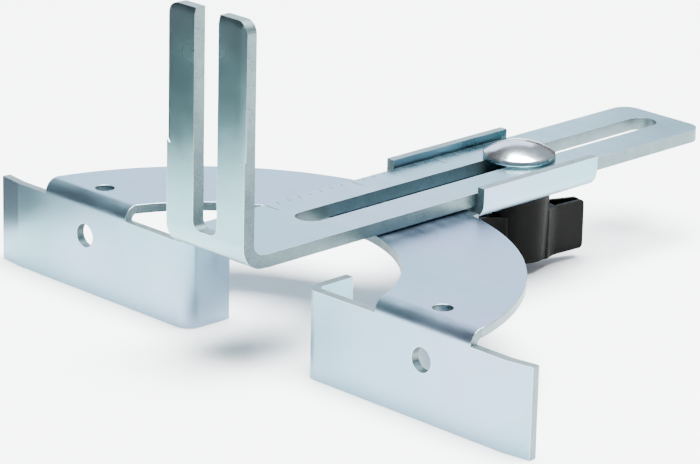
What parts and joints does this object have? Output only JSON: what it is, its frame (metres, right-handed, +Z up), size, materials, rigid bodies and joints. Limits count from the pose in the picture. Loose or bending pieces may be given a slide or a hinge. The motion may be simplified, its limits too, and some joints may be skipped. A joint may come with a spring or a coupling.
{
  "type": "straight side fence with sliding fork bar",
  "caption": "Bent steel side fence with a crescent plate and a channel, holding a slotted bar with an upright fork, clamped from below by a wing knob.",
  "frame": {"origin": "on the fence's front face, midway between the two flange screw holes, at their height", "axes": "+X along the fence; +Y back from the fence face, along the sliding bar; +Z up, from the fence face towards the tips of the fork"},
  "size_m": [0.16, 0.1435, 0.0755],
  "materials": {
    "zinc_sheet": "blue-passivated zinc plate, satin, faint lavender and green tint",
    "zinc_bar": "blue-passivated zinc plate, satin, sheared edges",
    "bright_zinc": "bright zinc plate, glossy",
    "black_plastic": "satin black moulded nylon"
  },
  "bodies": {
    "fence": {"fence_plate": "zinc_sheet", "carriage_bolt": "bright_zinc"},
    "bar": {"slide_bar": "zinc_bar"},
    "washer": {"flat_washer": "bright_zinc"},
    "knob": {"wing_knob": "black_plastic", "knob_nut": "bright_zinc"}
  },
  "joints": [
    {"name": "bar_slide", "type": "slide", "parent": "fence", "child": "bar", "axis": [0, 1, 0], "range_m": [-0.039, 0.062]},
    {"name": "knob_drop", "type": "slide", "parent": "fence", "child": "washer", "axis": [0, 0, -1], "range_m": [0, 0.003]},
    {"name": "knob_turn", "type": "hinge", "parent": "washer", "child": "knob", "pos_m": [0, 0.0828, 0], "axis": [0, 0, -1], "range_deg": [0, 1080]}
  ],
  "couplings": [
    {"joint": "knob_turn", "follows": "knob_drop", "rad_per_m": 6283.2}
  ]
}
